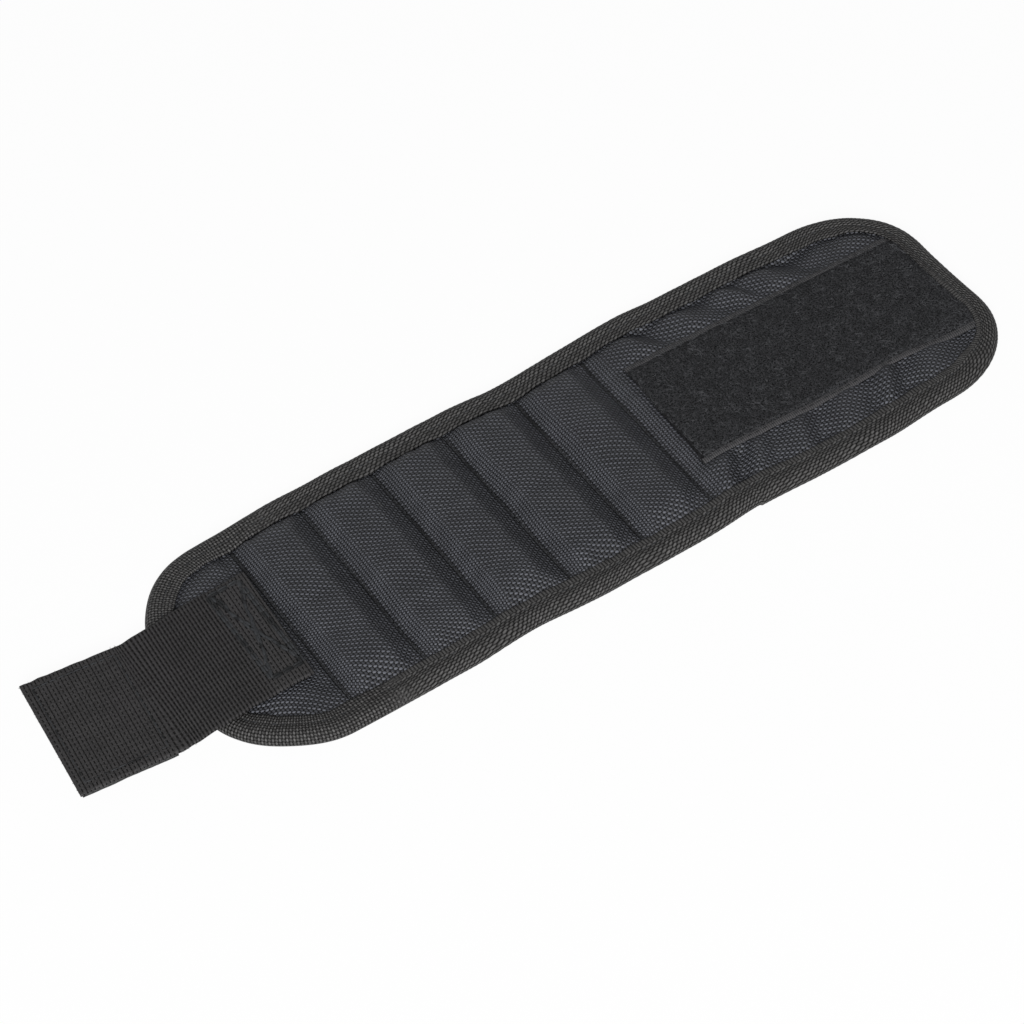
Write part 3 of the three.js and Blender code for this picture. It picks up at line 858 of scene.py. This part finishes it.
for part in PARTS[-2:]:
    letter, panels = part.letter, part.panels
    start, stop = (LOOP_START, part.stop) if letter == "g" else (part.start, LOOP_STOP)
    columns = np.linspace(start, stop, int((stop - start) / 0.5) + 1)
    rim_rows = np.linspace(22, 25, 8)
    rows = np.concatenate([-rim_rows[:0:-1], np.linspace(-22, 22, 89), rim_rows[1:]])
    x, y = np.meshgrid(columns, rows, indexing="ij")
    px, py = loop_frame(x, y)
    py = inside_edge(px, py, 0.3, 0)
    base = pad_top(px, np.clip(py, -22.5, 21.5)) + 0.06
    pile = smooth((22.6 - np.abs(y)) / 1.2) * smooth((px - LOOP_START - 0.3) / 0.8)
    tuft = 0.05 * ripple(px, py, 2.2, 31, 24) + 0.09 * ripple(px, py, 7.0, 32)
    rim = smooth((25.05 - np.abs(y)) / 0.8)
    top = base + 0.35 * rim + 0.2 + pile * (0.62 + tuft)
    solid = slab(stacked(px, py, top), stacked(px, py, base), np.stack([px, py], -1))
    count = len(columns) - 1
    middle = np.abs((rows[1:] + rows[:-1]) / 2) > 22.7
    kinds = np.zeros(len(solid[1]), int)
    kinds[: count * len(middle)] = np.tile(middle, count)
    # Painted shade: the pile darker along the patch's cut end, where it meets the face, and on the patch's
    # sides and underside.
    cut = 0.7 * smooth((LOOP_START + 1.4 - px + 0.4 * ripple(py, 0 * py, 1.6, 36)) / 1.4)
    dark = np.concatenate([cut.ravel(), np.full(cut.size, 0.8)])
    loop = piece(f"loop_{letter}", *pulled(solid), [PILE, SELVEDGE], kinds, 60, dark=dark)
    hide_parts(*(f"{p}_loop_tape" for p in panels))
    bend(loop, part)

    rng = np.random.default_rng(41 + ord(letter))
    count = int((stop - start) * FIBRE_RATE), 1
    fx, fy = rng.uniform(start + 0.3, stop - 0.3, count), rng.uniform(-22.4, 22.4, count)
    turn, reach = rng.uniform(0, 2 * math.pi, count), rng.uniform(0.9, 4.0, count)
    tall, curl = rng.uniform(0.12, 0.45, count), rng.normal(0, 0.3, count) * reach
    t = np.linspace(0, 1, 7)
    run, side = (t - 0.5) * reach, np.sin(math.pi * t) * curl
    bx, by = loop_frame(fx, fy)
    lx = bx + run * np.cos(turn) - side * np.sin(turn)
    ly = by + run * np.sin(turn) + side * np.cos(turn)
    ly = inside_edge(lx, ly, 0.8, 0.8)
    lz = pad_top(lx, ly) + 0.85 + 0.05 * ripple(lx, ly, 2.2, 31, 24)
    lz = lz + tall * np.sin(math.pi * t)
    lines = np.stack([np.clip(lx, start, stop), ly, lz], -1)
    curls = tubes(lines, 0.065, 3, np.stack([bx, by], -1))
    fibres = piece(f"loop_pile_{letter}", *pulled(curls), [FIBRE])
    bend(fibres, part)


# Webbing strap
STRAP_END, STRAP_CUT, STRAP_TIP, TIP_HINGE = 35.0, -4.75, -41.2, -9.408
path_x = np.linspace(45, -50, 1901)
lean = math.tan(math.radians(8)) * (smooth((1.5 - path_x) / 3) - smooth((TIP_HINGE + 2 - path_x) / 4))
path_z = 7.5 - running(lean[:-1] * np.abs(np.diff(path_x)))
yaw = math.radians(5) * smooth((TIP_HINGE + 3 - path_x) / 6)
drift = running(np.tan(yaw[:-1]) * np.abs(np.diff(path_x)))
SWAY = ((-50, 0.1), (-30, -0.35), (-9.5, -1.1), (3, -1.15), (18, -0.2), (40, 0.0))


def strap_frame(t, y):
    """Place, across the strap, of lengths along it and distances from its middle."""
    turn = np.interp(t, path_x[::-1], yaw[::-1])
    middle = np.interp(t, path_x[::-1], drift[::-1]) + knots(t, SWAY)
    skew = 0.055 * y * smooth((t + 10) / 8)
    y = y * (1 + 0.012 * smooth((-12 - t) / 25)) - 0.6 * bump((t - 1) / 6) * smooth(y / 24)
    return t + np.sin(turn) * y + skew, middle + np.cos(turn) * y


def strap_level(t, y=0):
    """Height of the strap's top, the same all the way across."""
    return np.interp(t, path_x[::-1], path_z[::-1])


def strap_piece(name, start, stop):
    columns = np.linspace(start, stop, int(abs(stop - start) / 0.3) + 1)
    rows = spaced(-24.0, 24.0, lambda r: np.interp(24 - np.abs(r), (0, 0.8, 2), (0.12, 0.3, 1.2)))
    t, y = np.meshgrid(columns, rows, indexing="ij")
    wavy = y + 0.07 * np.sign(y) * ripple(t, 0 * t, 5.0, 51) * smooth((np.abs(y) - 20) / 4)
    px, py = strap_frame(t, wavy)
    round_off = 0.62 * (1 - np.sqrt(np.maximum(1 - np.clip((np.abs(y) - 23.2) / 0.8, 0, 1) ** 2, 0)))
    rib = 0.03 + 0.08 * smooth((t + 9.5) / 3) * smooth((23 - t) / 2)
    ridge = rib * (np.abs(np.sin(math.pi * t / RIB)) - 0.6) * smooth((24 - np.abs(y)) / 1.5)
    level = strap_level(t) + 0.08 * ripple(t, y, 18, 52)
    top, under = level - round_off + ridge, level - 1.35 + round_off + ridge * 0.6
    solid = slab(stacked(px, py, top)[::-1], stacked(px, py, under)[::-1], np.stack([t, y], -1)[::-1])
    return piece(name, *solid, [STRAP], crease=70)


strap_a = strap_piece("strap_a", STRAP_END, STRAP_CUT)
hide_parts("strap_sewn_end", "strap_root")
row((3, 0, 0))
row((-3, 0, 0))
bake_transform(strap_a)
strap_b = strap_piece("strap_b", STRAP_CUT, STRAP_TIP)
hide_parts("strap_tip")
row((-5.2, 0, 0))
row((-11.2, 0, 0))
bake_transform(strap_b)


# Frayed threads along the strap's cut end and lower edge
rng = np.random.default_rng(77)
total = 150
end = rng.uniform(0, 1, total) < 0.5
t0 = np.where(end, -40.8, rng.uniform(-40.5, -6, total))
at_end = 23.6 * np.sign(rng.uniform(-1, 1, total)) * rng.uniform(0, 1, total) ** 0.4
at_side = np.where(rng.uniform(0, 1, total) < 0.8, -23.8, 23.8)
y0 = np.where(end, at_end, at_side)
reach, bow, rise = rng.uniform(0.3, 1.1, total), rng.normal(0, 0.35, total), rng.uniform(-1.1, -0.2, total)
share = np.linspace(0, 1, 5)
out = reach[:, None] * share - 0.25
side = bow[:, None] * share**2
t = t0[:, None] + np.where(end[:, None], -out, side)
y = y0[:, None] + np.where(end[:, None], side, np.sign(y0)[:, None] * out)
px, py = strap_frame(t, y)
lines = np.stack([px, py, strap_level(t0)[:, None] + rise[:, None] + 0.3 * bow[:, None] * share], -1)
yarns = tubes(lines, np.linspace(0.09, 0.045, 5), 4, np.stack([t0, y0], -1))
fray = piece("strap_fray", *yarns, [FRAY])
row((-5.2, 0, 0))
row((-11.2, 0, 0))
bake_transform(fray)


# Hook tape under the strap's free end
columns, rows = np.linspace(-40.6, -10.9, 40), np.linspace(-23.6, 23.6, 50)
t, y = np.meshgrid(columns, rows, indexing="ij")
px, py = strap_frame(t, y)
level = strap_level(t) - 1.5
under = level - 0.75 + 0.04 * ripple(t, y, 3, 61)
tape = slab(stacked(px, py, level), stacked(px, py, under), np.stack([t, y], -1))
ht, hy = np.meshgrid(np.arange(-39.4, -12, 1.5), np.arange(-21, 21.1, 1.5), indexing="ij")
hy = hy + 0.75 * (np.arange(len(ht))[:, None] % 2)
way = np.where(np.arange(ht.shape[1])[None] % 2, 1.0, -1.0) * np.ones_like(ht)
turn = np.linspace(0, 1, 7)
bx, by = strap_frame(ht.ravel(), hy.ravel())
STEM = 0.35
bent = (turn - STEM) / (1 - STEM) * math.pi * 1.2
out = np.where(turn < STEM, 0, 0.28 * (1 - np.cos(bent)))
drop = np.where(turn < STEM, turn / STEM * 0.5, 0.5 + 0.3 * np.sin(bent))
hooks = np.stack([
    bx[:, None] + way.ravel()[:, None] * out[None],
    by[:, None] + 0 * out[None],
    (strap_level(ht.ravel()) - 2.2)[:, None] - drop[None],
], -1)
barbs = tubes(hooks, np.linspace(0.12, 0.07, 7), 4, np.stack([bx, by], -1))
hook_tape = piece("hook_tape_dressed", *joined(tape, barbs), [HOOK])
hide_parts("hook_tape")
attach(hook_tape, "strap_tip")


# Stitches

def stitches(starts, stops, up, radius=0.2, sink=0.2):
    """Short raised lengths of thread, each dipping into the cloth at its ends."""
    starts, stops, up = (np.asarray(a, float) for a in (starts, stops, up))
    share = np.array([0, 0.12, 0.3, 0.5, 0.7, 0.88, 1])
    lift = np.array([-1, -0.2, 0.5, 0.65, 0.5, -0.2, -1]) * sink
    lines = starts[:, None] + (stops - starts)[:, None] * share[None, :, None]
    lines = lines + np.broadcast_to(up, starts.shape)[:, None] * lift[None, :, None]
    return tubes(lines, radius * np.array([0.4, 0.8, 1, 1, 1, 0.8, 0.4]), 6, starts[:, :2])


def along_line(places, level, lift, pitch, fill, up, radius=0.2, sink=0.2):
    """Stitches at a pitch along a line of places in x and y, lifted off the height that level gives."""
    places = np.asarray(places, float)
    run = running(np.hypot(*np.diff(places, axis=0).T))
    count = max(int(run[-1] / pitch), 1)
    ends = []
    for offset in (-fill / 2, fill / 2):
        s = (np.arange(count) + 0.5 + offset) * run[-1] / count
        x, y = np.interp(s, run, places[:, 0]), np.interp(s, run, places[:, 1])
        ends.append(stacked(x, y, level(x, y) + lift))
    return stitches(*ends, up, radius, sink)


def flat(x, y):
    return 0 * x


UP, DOWN = (0, 0, 1.0), (0, 0, -1.0)
for part in PARTS:
    letter, start, stop = part[:3]
    sewn = []
    for run in binding_runs(part):
        s = np.linspace(*run, 400)
        place, inward = outline(s)
        line = place + inward * GROOVE
        above = line - 0.41 * inward * slim(s % ROUND)[:, None]
        sewn.append(along_line(above, flat, 5.3, 3.1, 0.72, UP, 0.16, 0.12))
        sewn.append(along_line(line, flat, 0.3, 3.1, 0.72, DOWN, 0.2, 0.1))
    for seam in SEAMS:
        if start < seam < stop:
            line = np.stack([np.full(200, seam), np.linspace(-38, 38, 200)], -1)
            sewn.append(along_line(line, pad_top, 0.04, 2.7, 0.8, UP, 0.24))
            sewn.append(along_line(line, pad_bottom, -0.05, 2.7, 0.7, DOWN, 0.18, 0.1))
    first, last = max(start, LOOP_START + 1.3), min(stop, LOOP_STOP - 1)
    if first < last:
        for side in (-1, 1):
            t = np.linspace(first, last, 200)
            line = np.stack(loop_frame(t, 0 * t + side * 23.8), -1)
            line[:, 1] = inside_edge(line[:, 0], line[:, 1], 0.8, 0.4)
            sewn.append(along_line(line, pad_top, 0.6, 2.6, 0.7, UP, 0.12))
        if start < LOOP_START:
            t = np.linspace(-23.5, 23.5, 100)
            line = np.stack(loop_frame(0 * t + LOOP_START + 1.3, t), -1)
            sewn.append(along_line(line, pad_top, 0.95, 2.6, 0.7, UP, 0.12))
    thread = piece(f"thread_{letter}", *pulled(joined(*sewn)), [THREAD])
    bend(thread, part)


def rectangle(left, low, right, high):
    """Corners of a rectangle, back to the first."""
    return [(left, low), (right, low), (right, high), (left, high), (left, low)]


# Boxed cross that holds the strap
box, box_gap = rectangle(22.6, -18.6, 33.3, 21.4), 0.42
cross = [[(22.8, 21.2), (33.1, -18.4)], [(22.8, -18.4), (33.1, 21.2)]]
sewn = []
for a, b in zip(np.array(box), np.array(box)[1:]):
    for shift in (-box_gap, box_gap):
        side = np.array([-(b - a)[1], (b - a)[0]]) / np.linalg.norm(b - a) * shift
        places = np.linspace(a + side, b + side, 50)
        sewn.append(along_line(places, strap_level, 0.02, 3.0, 0.97, UP, 0.44, 0.14))
for k, (a, b) in enumerate(cross + cross):
    wander = ripple(np.linspace(0, 41, 50)[:, None], np.array([0, 9.0]), 8, 81 + k)
    places = np.linspace(a, b, 50) + 0.45 * wander
    sewn.append(along_line(places, strap_level, 0.04, 3.0, 0.97, UP, 0.5, 0.12))
box_stitch = piece("box_stitch", *joined(*sewn), [THREAD])
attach(box_stitch, "left_end")

# Border that holds the hook tape
sewn = []
ring = rectangle(-38.3, -20.6, -12.2, 20.6)
for a, b in zip(ring, ring[1:]):
    line = np.stack(strap_frame(*np.linspace(a, b, 80).T), -1)
    sewn.append(along_line(line, strap_level, 0, 2.6, 0.95, UP, 0.26, 0.12))
hook_stitch = piece("hook_stitch", *joined(*sewn), [THREAD])
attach(hook_stitch, "strap_tip")

for name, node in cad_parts.items():
    if name.endswith("_magnet"):
        node.data.materials.clear()
        node.data.materials.append(MAGNET)


# Camera, floor and light. The camera's place, angles in degrees and lens were fitted to the photograph.
CAMERA_PLACE, LENS = (-0.33589, -0.73712, 0.85706), 136.29
AZIMUTH, ELEVATION, ROLL = -114.355, 46.63, -10.128
FLOOR, FLOOR_DROP = 6.0, 0.0002


def place_camera():
    data = bpy.data.cameras.new("camera")
    data.lens, data.sensor_width, data.clip_start = LENS, 36.0, 0.01
    obj = added("camera", data)
    azimuth, elevation, roll = (math.radians(angle) for angle in (AZIMUTH, ELEVATION, ROLL))
    level = Vector((-math.sin(azimuth), math.cos(azimuth), 0))
    back = math.cos(elevation) * Vector((math.cos(azimuth), math.sin(azimuth), 0))
    back.z = math.sin(elevation)
    right = math.cos(roll) * level + math.sin(roll) * back.cross(level)
    turn = Matrix((right, back.cross(right), back)).transposed().to_4x4()
    obj.matrix_world = Matrix.Translation(Vector(CAMERA_PLACE)) @ turn
    bpy.context.scene.camera = obj


place_camera()


def backdrop(tree, own, glow_kind, share, output):
    """White for the camera and for reflections, with a share of the surface's own shading left in."""
    kinds = ("LightPath", glow_kind, "MixShader")
    path, glow, mix = (tree.nodes.new("ShaderNode" + kind) for kind in kinds)
    glow.inputs["Strength"].default_value = 1.0
    glow.inputs["Color"].default_value = (1, 1, 1, 1)
    seen = path.outputs["Is Camera Ray"]
    for ray in ("Is Glossy Ray", "Is Transmission Ray"):
        seen = math_node(tree, "MAXIMUM", seen, path.outputs[ray])
    shares = math_node(tree, "MULTIPLY", seen, share)
    for socket, value in zip(mix.inputs, (shares, own.outputs[0], glow.outputs[0])):
        tree.links.new(value, socket)
    tree.links.new(mix.outputs[0], tree.nodes[output].inputs[0])


def make_stage():
    scene = bpy.context.scene
    mesh = bpy.data.meshes.new("floor")
    corners = [(x, y, -FLOOR_DROP) for x, y in rectangle(-FLOOR, -FLOOR, FLOOR, FLOOR)[:4]]
    mesh.from_pydata(corners, [], [(0, 1, 2, 3)])
    floor = added("floor", mesh)
    pale = (0.86, 0.86, 0.86, 1)
    values = {"Base_Color": pale, "Roughness": 1.0, "Specular_IOR_Level": 0.0}
    material, tree, shader = new_material("floor_white", **values)
    backdrop(tree, shader, "Emission", 0.95, "Material Output")
    mesh.materials.append(material)
    world = bpy.data.worlds.new("studio")
    scene.world = world
    world.use_nodes = True
    tree = world.node_tree
    sky = tree.nodes["Background"]
    sky.inputs["Color"].default_value = (1, 1, 1, 1)
    sky.inputs["Strength"].default_value = 0.1
    backdrop(tree, sky, "Background", 1.0, "World Output")
    for name, place, size, power in (
        ("key", (-0.78, -1.34, 1.1), 0.7, 46.0),
        ("rim", (-0.4, 1.1, 1.5), 1.0, 2.0),
    ):
        data = bpy.data.lights.new(name, "AREA")
        data.size, data.energy = size, power
        lamp = added(name, data)
        lamp.location = place
        lamp.rotation_euler = (-Vector(place)).to_track_quat("-Z", "Y").to_euler()
    scene.view_settings.view_transform = "Standard"


make_stage()
